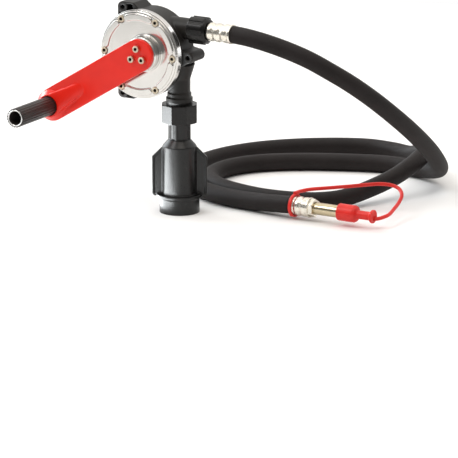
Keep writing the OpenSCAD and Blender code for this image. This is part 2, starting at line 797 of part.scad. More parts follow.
module lower_tube() {
    color("#8d8f91") tube_z(lower_tube_r, lower_tube_r - tube_wall, lower_tube_z0, lower_top_z);
}

// The collar that closes a tube's lower end and guides the next tube
module tube_collar(r_tube, z_end, r_next) {
    lip = 3;
    difference() {
        translate([0, 0, z_end - lip]) cylinder(r = r_tube + tube_collar_wall, h = tube_collar_h);
        translate([0, 0, z_end]) cylinder(r = r_tube, h = tube_collar_h);
        translate([0, 0, z_end - lip - eps]) cylinder(r = r_next + run, h = tube_collar_h);
    }
}

module upper_collar() {
    color("#262626") tube_collar(upper_tube_r, upper_tube_z0, middle_tube_r);
}

module middle_collar() {
    color("#262626") tube_collar(middle_tube_r, middle_tube_z0, lower_tube_r);
}

module foot_strainer() {
    wall = 2;
    slots = 8;
    slot_w = 3.2;
    slot_z = lower_tube_z0 - strainer_h + 5;
    sleeve = 8;
    color("#262626") difference() {
        translate([0, 0, lower_tube_z0 - strainer_h]) cylinder(r = lower_tube_r + wall, h = strainer_h + sleeve);
        translate([0, 0, lower_tube_z0]) cylinder(r = lower_tube_r, h = sleeve + eps);
        translate([0, 0, lower_tube_z0 - strainer_h + wall])
            cylinder(r = lower_tube_r - tube_wall, h = strainer_h);
        for (k = [0 : slots - 1]) rotate(360 * k / slots)
            translate([lower_tube_r - 6, -slot_w / 2, slot_z]) cube([12, slot_w, strainer_h - 9]);
    }
}

module outlet_union_nut() {
    pads = 8;
    pad_w = 9.5;
    pad_t = 2;
    x1 = outlet_nut_x + outlet_nut_l;
    color("#2a2a2b") translate([0, 0, outlet_z]) difference() {
        union() {
            bar_x(outlet_nut_r - pad_t, outlet_nut_x, x1 - outlet_nut_chamfer);
            translate([x1 - outlet_nut_chamfer, 0, 0]) rotate([0, 90, 0])
                cylinder(r1 = outlet_nut_r - pad_t, r2 = outlet_nut_r - pad_t - 2.5, h = outlet_nut_chamfer);
            intersection() {
                for (k = [0 : pads - 1]) rotate([360 * (k + 0.5) / pads, 0, 0])
                    translate([outlet_nut_x, -pad_w / 2, 0]) cube([outlet_nut_pad_l, pad_w, outlet_nut_r]);
                bar_x(outlet_nut_r, outlet_nut_x, x1);
            }
        }
        bar_x(outlet_thread_r + clear, outlet_nut_x - eps, x1 - outlet_nut_lip);
        bar_x(tail_r + tail_wall + 0.4, x1 - outlet_nut_lip - eps, x1 + eps);
    }
}

module outlet_seal() {
    color("#1a1a1a") translate([0, 0, outlet_z]) difference() {
        bar_x(outlet_thread_r - 0.5, outlet_end_x, outlet_end_x + 1);
        bar_x(port_r + 0.5, outlet_end_x - eps, outlet_end_x + 1 + eps);
    }
}

// The tail's flange is clamped by the nut, and its shank runs through the ferrule into the hose
module outlet_tail() {
    flange_x1 = outlet_nut_x + outlet_nut_l - outlet_nut_lip;
    color("#b9bcbd") translate([0, 0, outlet_z]) difference() {
        union() {
            bar_x(outlet_thread_r - 0.3, outlet_end_x + 1, flange_x1 - clear);
            bar_x(tail_r + tail_wall, outlet_end_x + 1, ferrule_x0);
            bar_x(tail_r, outlet_end_x + 1, ferrule_x0 + ferrule_l);
        }
        bar_x(tail_bore_r, outlet_end_x, ferrule_x0 + ferrule_l + eps);
    }
}

// A crimped ferrule along X: four swellings between three crimped grooves, turned as one piece
module ferrule(r, l, bore_r) {
    groove = 1.3;
    rotate([0, 90, 0]) rotate_extrude() polygon([
        [bore_r, 0], [r - 1.5, 0], [r, 1.5], [r, l * 0.14], [r - groove, l * 0.22], [r - groove, l * 0.3],
        [r, l * 0.38], [r, l * 0.47], [r - groove, l * 0.55], [r - groove, l * 0.63], [r, l * 0.71],
        [r, l * 0.84], [r - 0.8, l * 0.88], [r + 0.5, l * 0.92], [r + 0.5, l - 1], [r - 0.5, l], [bore_r, l],
    ]);
}

module pump_ferrule() {
    color("#dcdcda") translate([ferrule_x0, 0, outlet_z]) ferrule(pump_ferrule_r, ferrule_l, tail_r);
}

module delivery_hose() {
    color("#221c1a") swept_tube(HOSE_ROUTE, hose_r, HOSE_SIDES, [1, 0, 0], [1, 0, 0]);
}

module nozzle_ferrule() {
    color("#dcdcda") translate([nozzle_x0 + clear, nozzle_y, nozzle_z])
        ferrule(nozzle_ferrule_r, nozzle_ferrule_l - clear, nozzle_r);
}

module nozzle_collar() {
    color("#d8d8d6") translate([collar_x0, nozzle_y, nozzle_z]) difference() {
        rotate([0, 90, 0]) cylinder(r = collar_af / 2 / cos(30), h = collar_t, $fn = 6);
        bar_x(nozzle_r, -eps, collar_t + eps);
    }
}

module nozzle_tube() {
    color("#b7ab8c") translate([0, nozzle_y, nozzle_z]) difference() {
        bar_x(nozzle_r, nozzle_x0 + 1, nozzle_x1);
        bar_x(nozzle_r - 1.2, nozzle_x0, nozzle_x1 + eps);
    }
}

module nozzle_cap() {
    flange_x0 = cap_l + cap_neck_l - cap_flange_t;
    color("#e5322a") translate([cap_x0, nozzle_y, nozzle_z]) difference() {
        rotate([0, 90, 0]) rotate_extrude() polygon([
            [0, 0], [cap_r, 0], [cap_r, cap_l - 5], [cap_r - 2, cap_l - 1.5], [cap_neck_r + 1, cap_l],
            [cap_neck_r, cap_l + 1.5], [cap_neck_r, flange_x0 - cap_flare], [cap_flange_r, flange_x0],
            [cap_flange_r, cap_l + cap_neck_l], [0, cap_l + cap_neck_l],
        ]);
        bar_x(nozzle_r + run, -eps, cap_engage + 1);
    }
}

module cap_strap() {
    ring_x0 = nozzle_x0 + 2;
    ring_r = nozzle_ferrule_r + clear;
    color("#e5322a") {
        swept_tube(curve(STRAP_ROUTE, 2), strap_r, STRAP_SIDES, [1, 0, 0], [0, -1, 0]);
        translate([ring_x0, nozzle_y, nozzle_z]) difference() {
            bar_x(ring_r + strap_ring_wall, 0, strap_ring_w);
            bar_x(ring_r, -eps, strap_ring_w + eps);
        }
    }
}

pump_body();
front_cover();
rear_cover();
front_gasket();
rear_gasket();
cover_screws();
rear_screws();
front_bush();
rear_bush();
shaft_seal();
shaft();
rotor_key();
rotor();
vane_1();
vane_2();
vane_3();
hub_flange();
crank_lever();
lever_screws();
grip_tube();
grip_sleeve();
grip_ring();
inlet_union_nut();
inlet_seal();
bung_adapter();
adapter_seal();
upper_tube();
upper_collar();
middle_tube();
middle_collar();
lower_tube();
foot_strainer();
outlet_union_nut();
outlet_seal();
outlet_tail();
pump_ferrule();
delivery_hose();
nozzle_ferrule();
nozzle_collar();
nozzle_tube();
nozzle_cap();
cap_strap();
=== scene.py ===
import json
import math

import bmesh
import bpy
from mathutils import Matrix, Vector

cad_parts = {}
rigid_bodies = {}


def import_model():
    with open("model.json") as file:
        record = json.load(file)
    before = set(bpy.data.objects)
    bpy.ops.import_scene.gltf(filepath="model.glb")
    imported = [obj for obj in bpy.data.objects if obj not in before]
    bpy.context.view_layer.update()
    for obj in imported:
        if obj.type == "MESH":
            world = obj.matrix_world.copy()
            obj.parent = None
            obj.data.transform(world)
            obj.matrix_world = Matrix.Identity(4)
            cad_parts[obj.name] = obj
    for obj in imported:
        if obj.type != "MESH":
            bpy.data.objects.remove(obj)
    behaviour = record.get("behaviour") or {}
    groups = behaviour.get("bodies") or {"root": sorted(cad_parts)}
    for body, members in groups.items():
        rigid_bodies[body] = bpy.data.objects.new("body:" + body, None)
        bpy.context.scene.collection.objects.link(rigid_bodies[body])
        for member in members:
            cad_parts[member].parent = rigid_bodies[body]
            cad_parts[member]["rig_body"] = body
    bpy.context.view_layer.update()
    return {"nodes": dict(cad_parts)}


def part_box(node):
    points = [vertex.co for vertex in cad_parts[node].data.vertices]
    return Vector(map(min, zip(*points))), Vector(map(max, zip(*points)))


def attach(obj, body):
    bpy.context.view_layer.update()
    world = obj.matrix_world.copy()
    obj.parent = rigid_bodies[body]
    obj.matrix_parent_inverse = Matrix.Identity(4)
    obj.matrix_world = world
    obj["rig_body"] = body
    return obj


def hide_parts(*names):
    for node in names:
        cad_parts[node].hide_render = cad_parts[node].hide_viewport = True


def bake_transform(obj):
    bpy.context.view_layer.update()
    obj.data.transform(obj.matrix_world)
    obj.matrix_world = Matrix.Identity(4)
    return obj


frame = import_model()
NODES = frame["nodes"]
MM = 0.001

# ---------------------------------------------------------------- camera

VIEW_AZIMUTH = math.radians(30.8)
VIEW_ELEVATION = math.radians(14.5)
VIEW_DISTANCE = 9.0
LENS = 474.7
SENSOR_WIDTH = 36
CLIP_END = 100
AIM_RIGHT = 0.0736
AIM_UP = -0.0268


def view_axes(azimuth, elevation):
    """The view's right and up directions and the direction back to the viewer, from angles in radians."""
    right = Vector((math.cos(azimuth), math.sin(azimuth), 0))
    back = Vector((
        math.sin(azimuth) * math.cos(elevation),
        -math.cos(azimuth) * math.cos(elevation),
        math.sin(elevation),
    ))
    return right, back.cross(right), back


def link(obj):
    bpy.context.scene.collection.objects.link(obj)
    return obj


def object_of(bm, name):
    """Turns a mesh that is still being built into an object of the scene."""
    mesh = bpy.data.meshes.new(name)
    bm.to_mesh(mesh)
    bm.free()
    return link(bpy.data.objects.new(name, mesh))


def turn_to(obj, x_axis, y_axis, z_axis):
    """Turns a camera or a lamp so that its own axes point along the given ones. Both look along minus Z."""
    obj.matrix_world = Matrix((x_axis, y_axis, z_axis)).transposed().to_4x4()


def make_camera():
    right, up, back = view_axes(VIEW_AZIMUTH, VIEW_ELEVATION)
    data = bpy.data.cameras.new("camera")
    data.lens = LENS
    data.sensor_width = SENSOR_WIDTH
    data.clip_end = CLIP_END
    camera = link(bpy.data.objects.new("camera", data))
    turn_to(camera, right, up, back)
    camera.location = right * AIM_RIGHT + up * AIM_UP + back * VIEW_DISTANCE
    bpy.context.scene.camera = camera


make_camera()

# ---------------------------------------------------------------- the hose's and strap's routes, in mm

HOSE_ROUTE = [
    (93, 0, 280), (119, 2, 277.5), (151, 7, 271), (181, 14, 262), (209, 24, 250), (235, 37, 234),
    (258, 56, 215), (278, 82, 191), (293, 118, 161), (303, 166, 124), (302, 220, 86), (293, 263, 57),
    (277, 299, 38), (255, 328, 26), (230, 349, 18), (203, 361, 14), (169, 366, 13.4), (134, 361, 13.4),
    (82, 341, 13.4), (25, 311, 13.4), (-22, 272, 13.4), (-46, 228, 13.4), (-49, 182, 13.4),
    (-32, 143, 13.4), (2, 115, 13.4), (46, 99, 13.4), (92, 92, 13.4), (136, 97, 13.4), (173, 114, 13.4),
    (200, 145, 15), (221, 184, 23), (237, 227, 33), (244, 269, 43.5), (241, 309, 50), (227, 347, 48),
    (205, 382, 38), (179, 412, 25), (150, 433, 15), (114, 446, 13.4), (70, 446, 13.4), (20, 424, 13.4),
    (-31, 385, 13.4), (-70, 338, 13.4), (-94, 281, 13.4), (-99, 220, 13.4), (-84, 162, 13.4),
    (-52, 115, 13.4), (-9, 83, 13.4), (36, 66, 13.4), (81, 58, 14.3), (124, 53, 17), (165, 50, 20),
]
HOSE_RADIUS = 13.2 * MM
HOSE_STEPS = 8
HOSE_SIDES = 32
STRAP_ROUTE = [
    (304, 51, 16), (310, 61, 16.5), (313, 79, 18), (309, 100, 20.5), (305, 124, 26), (299, 143, 32),
    (289, 153, 38), (275, 155, 41.5), (259, 148, 43), (243, 132, 43), (225, 116, 42), (201, 97, 40.5),
    (180, 79, 39.5), (172, 63, 39), (169.5, 50, 38.5),
]
STRAP_RADIUS = 2.8 * MM
STRAP_STEPS = 5
STRAP_SIDES = 16


def smooth_line(points, steps):
    """A smooth line in metres through points in mm, with so many steps from one point to the next."""
    p = [Vector(q) * MM for q in points]
    line = []
    for i in range(len(p) - 1):
        a, b, c, d = p[max(i - 1, 0)], p[i], p[i + 1], p[min(i + 2, len(p) - 1)]
        for k in range(steps):
            t = k / steps
            line.append(0.5 * (
                2 * b + (c - a) * t + (2 * a - 5 * b + 4 * c - d) * t * t + (3 * b - a - 3 * c + d) * t ** 3
            ))
    line.append(p[-1])
    return line


def length_of(line):
    return sum((b - a).length for a, b in zip(line, line[1:]))


def round_place(k, sides):
    """Cosine and sine of the k-th of so many equal steps round a circle."""
    turn = 2 * math.pi * k / sides
    return math.cos(turn), math.sin(turn)


def swept(name, line, radius, sides, first, last):
    """A closed tube along a line, with given directions at its ends and its length in the UV map's v."""
    bm = bmesh.new()
    uv = bm.loops.layers.uv.new("along")
    rings = []
    along = [0.0]
    for a, b in zip(line, line[1:]):
        along.append(along[-1] + (b - a).length)
    for i, centre in enumerate(line):
        if i == 0:
            travel = Vector(first)
        elif i == len(line) - 1:
            travel = Vector(last)
        else:
            travel = (line[i + 1] - line[i - 1]).normalized()
        side = travel.cross(Vector((0, 0, 1))).normalized()
        top = side.cross(travel)
        ring = []
        for k in range(sides):
            c, s = round_place(k, sides)
            ring.append(bm.verts.new(centre + radius * (c * side + s * top)))
        rings.append(ring)
    for i in range(len(rings) - 1):
        for k in range(sides):
            n = (k + 1) % sides
            face = bm.faces.new((rings[i][k], rings[i][n], rings[i + 1][n], rings[i + 1][k]))
            corners = ((k, i), (k + 1, i), (k + 1, i + 1), (k, i + 1))
            for loop, (u, v) in zip(face.loops, corners):
                loop[uv].uv = (u / sides, along[v])
            face.smooth = True
    bm.faces.new(list(reversed(rings[0])))
    bm.faces.new(rings[-1])
    bmesh.ops.recalc_face_normals(bm, faces=bm.faces)
    return object_of(bm, name)


HOSE_LINE = smooth_line(HOSE_ROUTE, HOSE_STEPS)
hose = swept("hose", HOSE_LINE, HOSE_RADIUS, HOSE_SIDES, (1, 0, 0), (1, 0, 0))
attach(hose, "pump")
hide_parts("delivery_hose")

# ---------------------------------------------------------------- materials

# Most of a noise's values lie between these two
NOISE_LOW = 0.3
NOISE_HIGH = 0.7
METAL_BLOTCHES = 60
METAL_DARK_AT = 0.35
METAL_LIGHT_AT = 0.65
PLASTIC_BLOTCHES = 45
HOSE_BLOTCHES = 22
COAT_ROUGHNESS = 0.12
HOSE_LIGHT = (0.016, 0.0118, 0.0115)
HOSE_DARK = (0.0105, 0.0075, 0.0072)
HOSE_THREADS = (90, 900, 1)
HOSE_WRAPS = (1.0, 420, 1)
HOSE_RELIEF = 0.00025
HOSE_ROUGHNESS = (0.55, 0.72)


def add_node(tree, kind, inputs=None, **settings):
    """Adds a shader node, with sockets linked and plain values set."""
    node = tree.nodes.new("ShaderNode" + kind)
    for key, value in settings.items():
        setattr(node, key, value)
    for key, value in (inputs or {}).items():
        if isinstance(value, bpy.types.NodeSocket):
            tree.links.new(value, node.inputs[key])
        else:
            node.inputs[key].default_value = value
    return node


class Shader:
    """A procedural material, built node by node."""

    def __init__(self, name):
        self.material = bpy.data.materials.new(name)
        self.material.use_nodes = True
        self.tree = self.material.node_tree
        self.surface = self.tree.nodes["Principled BSDF"]
        self.place = self.add("TexCoord").outputs["Object"]

    def add(self, kind, inputs=None, **settings):
        return add_node(self.tree, kind, inputs, **settings)

    def set(self, **values):
        for key, value in values.items():
            name = key.replace("_", " ").title().replace("Ior", "IOR")
            if isinstance(value, bpy.types.NodeSocket):
                self.tree.links.new(value, self.surface.inputs[name])
            else:
                self.surface.inputs[name].default_value = value

    def scaled(self, place, scale):
        return self.add("Mapping", {"Vector": place, "Scale": scale}).outputs["Vector"]

    def noise(self, scale, detail, place=None):
        inputs = {"Vector": place or self.place, "Scale": scale, "Detail": detail}
        return self.add("TexNoise", inputs).outputs["Fac"]

    def ramp(self, value, dark_at, dark, light_at, light):
        node = self.add("ValToRGB", {"Fac": value})
        first, last = node.color_ramp.elements
        first.position = dark_at
        first.color = (*dark, 1)
        last.position = light_at
        last.color = (*light, 1)
        return node.outputs["Color"]

    def spread(self, value, to_low, to_high):
        """Spreads a noise's usual values over a range."""
        return self.add("MapRange", {
            "Value": value, "From Min": NOISE_LOW, "From Max": NOISE_HIGH,
            "To Min": to_low, "To Max": to_high,
        }).outputs["Result"]

    def bump(self, height, distance):
        return self.add("Bump", {"Height": height, "Distance": distance}).outputs["Normal"]


MATERIALS = {}


def metal(name, light, dark, rough, spread, grain, bump):
    """A metal: two tones, the roughness and how far it varies, the grain's scale and its height in m."""
    s = Shader(name)
    blotch = s.noise(METAL_BLOTCHES, 3)
    fine = s.noise(grain, 2)
    s.set(
        base_color=s.ramp(blotch, METAL_DARK_AT, dark, METAL_LIGHT_AT, light),
        metallic=1.0,
        roughness=s.spread(fine, rough - spread, rough + spread),
        normal=s.bump(fine, bump),
    )
    MATERIALS[name] = s.material


def plastic(name, light, dark, rough, spread, grain, bump, gloss=0.5, coat=0.0):
    """A plastic, rubber, paint or paper, stated as a metal is, with its specular level and its clear coat."""
    s = Shader(name)
    blotch = s.noise(PLASTIC_BLOTCHES, 3)
    fine = s.noise(grain, 3)
    s.set(
        base_color=s.ramp(blotch, NOISE_LOW, dark, NOISE_HIGH, light),
        roughness=s.spread(fine, rough - spread, rough + spread),
        normal=s.bump(fine, bump),
        specular_ior_level=gloss,
        coat_weight=coat,
        coat_roughness=COAT_ROUGHNESS,
    )
    MATERIALS[name] = s.material


def hose_rubber():
    """Rubber with the faint marks of the cloth that it was wrapped in."""
    s = Shader("hose_cloth_rubber")
    uv = s.add("UVMap", uv_map="along").outputs["UV"]
    thread = s.noise(1.0, 2, place=s.scaled(uv, HOSE_THREADS))
    wrap = s.add("TexWave", {
        "Vector": s.scaled(uv, HOSE_WRAPS), "Scale": 1.0,
        "Distortion": 1.5, "Detail": 2.0, "Detail Scale": 2.0,
    }, bands_direction="Y").outputs["Fac"]
    height = s.add("MixRGB", {"Fac": 0.5, "Color1": wrap, "Color2": thread}).outputs["Color"]
    s.set(
        base_color=s.ramp(s.noise(HOSE_BLOTCHES, 4), NOISE_LOW, HOSE_DARK, NOISE_HIGH, HOSE_LIGHT),
        roughness=s.spread(thread, *HOSE_ROUGHNESS),
        normal=s.bump(height, HOSE_RELIEF),
        specular_ior_level=0.25,
    )
    MATERIALS["hose_rubber"] = s.material


plastic("cast_black", (0.016, 0.0135, 0.0115), (0.009, 0.008, 0.007), 0.42, 0.07, 900, 0.00008, gloss=0.3)
metal("polished_alu", (0.70, 0.685, 0.66), (0.66, 0.645, 0.62), 0.17, 0.03, 700, 0.00001)
metal("turned_alu", (0.70, 0.69, 0.67), (0.66, 0.65, 0.63), 0.2, 0.03, 900, 0.00001)
plastic("gasket_paper", (0.3, 0.22, 0.12), (0.2, 0.15, 0.09), 0.85, 0.05, 600, 0.00005)
metal("zinc_screws", (0.70, 0.62, 0.48), (0.56, 0.49, 0.38), 0.3, 0.06, 1500, 0.00002)
# A near-black metal that paints shade inside the screws' hexagon sockets.
metal("socket_painted_shade", (0.05, 0.045, 0.035), (0.03, 0.026, 0.02), 0.5, 0.05, 900, 0.00001)
metal("bronze", (0.6, 0.4, 0.16), (0.45, 0.3, 0.1), 0.3, 0.05, 900, 0.00002)
plastic("seal_rubber", (0.02, 0.02, 0.02), (0.015, 0.015, 0.015), 0.7, 0.05, 900, 0.00003)
metal("steel", (0.55, 0.55, 0.56), (0.45, 0.45, 0.46), 0.3, 0.05, 900, 0.00001)
metal("sintered_iron", (0.3, 0.3, 0.31), (0.2, 0.2, 0.21), 0.5, 0.08, 700, 0.00003)
plastic("vane_plastic", (0.05, 0.07, 0.05), (0.03, 0.05, 0.035), 0.6, 0.05, 700, 0.00002)
plastic(
    "red_paint", (0.84, 0.016, 0.005), (0.78, 0.013, 0.004), 0.32, 0.03, 500, 0.00003,
    gloss=0.35, coat=0.1,
)
plastic(
    "grip_plastic", (0.034, 0.028, 0.026), (0.024, 0.020, 0.019), 0.36, 0.05, 900, 0.00003,
    gloss=0.45,
)
metal("bright_ring", (0.8, 0.8, 0.79), (0.72, 0.72, 0.71), 0.2, 0.03, 900, 0.00001)
plastic(
    "nut_plastic", (0.007, 0.0065, 0.006), (0.004, 0.0037, 0.0035), 0.26, 0.03, 1100, 0.000008,
    gloss=0.32,
)
plastic(
    "adapter_plastic", (0.006, 0.006, 0.006), (0.004, 0.004, 0.004), 0.3, 0.04, 1000, 0.00004,
    gloss=0.4,
)
metal("tube_metal", (0.62, 0.63, 0.64), (0.57, 0.58, 0.59), 0.3, 0.05, 400, 0.00002)
hose_rubber()
metal("ferrule_zinc", (0.86, 0.82, 0.73), (0.74, 0.70, 0.61), 0.26, 0.05, 900, 0.00003)
metal("nozzle_metal", (0.62, 0.53, 0.36), (0.54, 0.46, 0.31), 0.22, 0.04, 900, 0.00001)
plastic(
    "cap_rubber", (0.74, 0.022, 0.015), (0.66, 0.017, 0.012), 0.42, 0.05, 700, 0.00004,
    gloss=0.4,
)

SLOT_NODES = {
    "cast_black": ["pump_body"],
    "polished_alu": ["front_cover"],
    "turned_alu": ["rear_cover", "hub_flange"],
    "gasket_paper": ["front_gasket", "rear_gasket"],
    "zinc_screws": ["cover_screws", "rear_screws", "lever_screws"],
    "bronze": ["front_bush", "rear_bush"],
    "seal_rubber": ["shaft_seal", "inlet_seal", "adapter_seal", "outlet_seal"],
    "steel": ["shaft", "rotor_key"],
    "sintered_iron": ["rotor"],
    "vane_plastic": ["vane_1", "vane_2", "vane_3"],
    "red_paint": ["crank_lever"],
    # The grip's tube takes the sleeve's near-black finish so that the hollow inside the grip shows dark:
    # painted shade.
    "grip_plastic": ["grip_sleeve", "grip_tube"],
    "bright_ring": ["grip_ring"],
    "nut_plastic": ["inlet_union_nut", "outlet_union_nut", "upper_collar", "middle_collar", "foot_strainer"],
    "adapter_plastic": ["bung_adapter"],
    "tube_metal": ["upper_tube", "middle_tube", "lower_tube", "outlet_tail"],
    "ferrule_zinc": ["pump_ferrule", "nozzle_ferrule", "nozzle_collar"],
    "nozzle_metal": ["nozzle_tube"],
    "cap_rubber": ["nozzle_cap", "cap_strap"],
}


def paint(obj, slot):
    obj.data.materials.clear()
    obj.data.materials.append(MATERIALS[slot])


for slot_name, names in SLOT_NODES.items():
    for node_name in names:
        paint(NODES[node_name], slot_name)

# ---------------------------------------------------------------- pieces

WELD = 2e-6
FLAT_SHARE = 0.03
NORMAL_DIGITS = 3
BEVEL_SEGMENTS = 2
BEVEL_FROM_DEGREES = 28
SMOOTHING = 0.5
# Within this share of a screw head's radius, its socket is painted with shade.
SOCKET_SHADE_SHARE = 0.57


def stand_for(obj, node, slot):
    """The piece takes the place, the body and the finish of a CAD node."""
    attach(obj, NODES[node]["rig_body"])
    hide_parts(node)
    paint(obj, slot)
    return obj


def welded(node):
    """A copy of a CAD node's mesh with its split edges joined and its slivers taken out."""
    bm = bmesh.new()
    bm.from_mesh(NODES[node].data)
    bmesh.ops.remove_doubles(bm, verts=bm.verts, dist=WELD)
    bmesh.ops.dissolve_degenerate(bm, edges=bm.edges, dist=WELD)
    return bm


def finished(obj):
    """Applies the piece's modifiers to its mesh."""
    graph = bpy.context.evaluated_depsgraph_get()
    graph.update()
    mesh = bpy.data.meshes.new_from_object(obj.evaluated_get(graph))
    obj.modifiers.clear()
    old = obj.data
    obj.data = mesh
    bpy.data.meshes.remove(old)


def flat_stays_flat(mesh):
    """Shades large flat regions flat, so that the rounded edges beside them don't bend their light."""
    way = [tuple(round(x, NORMAL_DIGITS) for x in polygon.normal) for polygon in mesh.polygons]
    area = {}
    for key, polygon in zip(way, mesh.polygons):
        area[key] = area.get(key, 0) + polygon.area
    total = sum(area.values())
    for key, polygon in zip(way, mesh.polygons):
        polygon.use_smooth = area[key] < FLAT_SHARE * total


def machined(name, node, slot, width):
    """A node with its sharp edges rounded off by a bevel that is so many mm wide."""
    obj = object_of(welded(node), name)
    bevel = obj.modifiers.new("bevel", "BEVEL")
    bevel.width = width * MM
    bevel.segments = BEVEL_SEGMENTS
    bevel.limit_method = "ANGLE"
    bevel.angle_limit = math.radians(BEVEL_FROM_DEGREES)
    bevel.use_clamp_overlap = False
    for polygon in obj.data.polygons:
        polygon.use_smooth = True
    finished(obj)
    flat_stays_flat(obj.data)
    return stand_for(obj, node, slot)


def middle(values):
    return (max(values) + min(values)) / 2


def linked_groups(bm):
    """The vertices of a mesh in groups, one for each of its separate solids."""
    left = set(bm.verts)
    while left:
        group = set()
        front = [left.pop()]
        while front:
            vert = front.pop()
            group.add(vert)
            for edge in vert.link_edges:
                other = edge.other_vert(vert)
                if other in left:
                    left.discard(other)
                    front.append(other)
        yield group


def paint_socket_shade(obj):
    """Paints shade into each screw's hexagon socket: the faces inside it get a near-black metal that stands
    in for the shade there. The screws point along Y.
    """
    bm = bmesh.new()
    bm.from_mesh(obj.data)
    for screw in linked_groups(bm):
        x = middle([v.co.x for v in screw])
        z = middle([v.co.z for v in screw])
        far = {v: math.hypot(v.co.x - x, v.co.z - z) for v in screw}
        head_r = max(far.values())
        for face in {f for v in screw for f in v.link_faces}:
            # painted shade: the faces inside the socket take the near-black metal
            if all(far[v] < SOCKET_SHADE_SHARE * head_r for v in face.verts):
                face.material_index = 1
    bm.to_mesh(obj.data)
    bm.free()
    obj.data.materials.append(MATERIALS["socket_painted_shade"])


def moulded(name, node, slot, voxel, passes, keep):
    """A node with every edge and corner softened, as a casting or moulding has them."""
    obj = object_of(welded(node), name)
    remesh = obj.modifiers.new("voxels", "REMESH")
    remesh.mode = "VOXEL"
    remesh.voxel_size = voxel * MM
    remesh.use_smooth_shade = True
    smooth = obj.modifiers.new("smooth", "SMOOTH")
    smooth.factor = SMOOTHING
    smooth.iterations = passes
    thin = obj.modifiers.new("thin", "DECIMATE")
    thin.ratio = keep
    finished(obj)
    for polygon in obj.data.polygons:
        polygon.use_smooth = True
    return stand_for(obj, node, slot)


FERRULE_PROFILE = [
    # share of the length, radius added at the crimp's ridges, depth of its flats below them
    (0.00, -1.6, 0.0), (0.03, -0.4, 0.0), (0.07, 0.0, 0.0), (0.16, 0.0, 0.0), (0.21, -0.7, 0.3),
    (0.26, -1.3, 0.5), (0.31, -0.7, 0.3), (0.36, 0.0, 0.0), (0.45, 0.0, 0.0), (0.51, -0.7, 0.3),
    (0.57, -1.4, 0.5), (0.63, -0.8, 0.3), (0.68, -0.1, 0.0), (0.78, 0.0, 0.0), (0.84, -0.5, 0.0),
    (0.87, -0.9, 0.0), (0.89, -0.4, 0.0), (0.905, 0.3, 0.0), (0.93, 0.5, 0.0), (0.97, 0.5, 0.0),
    (0.99, 0.3, 0.0), (1.00, -0.4, 0.0),
]
FERRULE_SIDES = 96
FERRULE_RINGS = 110
CRIMP_JAWS = 8
RIDGE_POWER = 0.7


def crimp_at(share):
    """The radius added at the ridges and the depth of the flats, at a share of the ferrule's length."""
    for (a, ra, fa), (b, rb, fb) in zip(FERRULE_PROFILE, FERRULE_PROFILE[1:]):
        if a <= share <= b:
            t = (share - a) / (b - a)
            t = t * t * (3 - 2 * t)
            step, flat = ra + (rb - ra) * t, fa + (fb - fa) * t
    return step, flat


def crimped_ferrule(name, node, radius):
    """A ferrule along X, pressed into the hose by jaws that leave flats between ridges."""
    low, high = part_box(node)
    centre = (low + high) / 2
    length = high.x - low.x
    bm = bmesh.new()
    rings = []
    for i in range(FERRULE_RINGS + 1):
        share = i / FERRULE_RINGS
        step, flat = crimp_at(share)
        ring = []
        for k in range(FERRULE_SIDES):
            turn = 2 * math.pi * k / FERRULE_SIDES
            ridge = abs(math.cos(turn * CRIMP_JAWS / 2)) ** RIDGE_POWER
            r = radius * MM + (step - flat * (1 - ridge)) * MM
            ring.append(bm.verts.new((
                low.x + share * length, centre.y + r * math.cos(turn), centre.z + r * math.sin(turn))))
        rings.append(ring)
    for a, b in zip(rings, rings[1:]):
        for k in range(FERRULE_SIDES):
            n = (k + 1) % FERRULE_SIDES
            bm.faces.new((a[k], a[n], b[n], b[k]))
    bm.faces.new(rings[0])
    bm.faces.new(rings[-1])
    bmesh.ops.recalc_face_normals(bm, faces=bm.faces)
    for face in bm.faces:
        face.smooth = len(face.verts) == 4
    stand_for(object_of(bm, name), node, "ferrule_zinc")


MOULDED = [
    # piece, node, finish, voxel in mm, smoothing passes, share of the faces that stays
    ("pump_casting", "pump_body", "cast_black", 0.7, 4, 0.5),
    ("drum_adapter", "bung_adapter", "adapter_plastic", 0.7, 4, 0.5),
    ("lever_casting", "crank_lever", "red_paint", 0.7, 8, 0.5),
    ("outlet_nut_moulding", "outlet_union_nut", "nut_plastic", 0.45, 3, 0.5),
    ("inlet_nut_moulding", "inlet_union_nut", "nut_plastic", 0.5, 3, 0.5),
    ("cap_moulding", "nozzle_cap", "cap_rubber", 0.4, 4, 0.5),
    ("cover_plate", "front_cover", "polished_alu", 0.45, 5, 0.48),
    ("rear_plate", "rear_cover", "turned_alu", 0.6, 2, 0.4),
    ("hub", "hub_flange", "turned_alu", 0.35, 2, 0.5),
]

MACHINED = [
    # piece, node, finish, width of the bevel in mm
    ("grip_ribbed", "grip_sleeve", "grip_plastic", 0.3),
    ("grip_end_ring", "grip_ring", "bright_ring", 0.6),
    ("cover_screw_heads", "cover_screws", "zinc_screws", 0.35),
    ("rear_screw_heads", "rear_screws", "zinc_screws", 0.35),
    ("lever_screw_heads", "lever_screws", "zinc_screws", 0.35),
    ("nozzle_hexagon", "nozzle_collar", "ferrule_zinc", 0.6),
    ("nozzle_barrel", "nozzle_tube", "nozzle_metal", 0.3),
]
FERRULES = [
    # piece, node, radius at the ridges in mm
    ("pump_crimp", "pump_ferrule", 14.2),
    ("nozzle_crimp", "nozzle_ferrule", 14.6),
]

for settings in FERRULES:
    crimped_ferrule(*settings)
for settings in MOULDED:
    moulded(*settings)
for settings in MACHINED:
    piece = machined(*settings)
    # The screw heads get painted shade inside their sockets.
    if piece.name.endswith("_screw_heads"):
        paint_socket_shade(piece)

# The ring that holds the strap: where it starts on the ferrule, its radii, its width and its rounded edge
RING_FROM = 1.7 * MM
RING_INNER = 14.9 * MM
RING_OUTER = 17.5 * MM
RING_WIDE = 5 * MM
RING_EDGE = 0.8 * MM
RING_EDGE_CUT = 0.3
RING_SIDES = 64


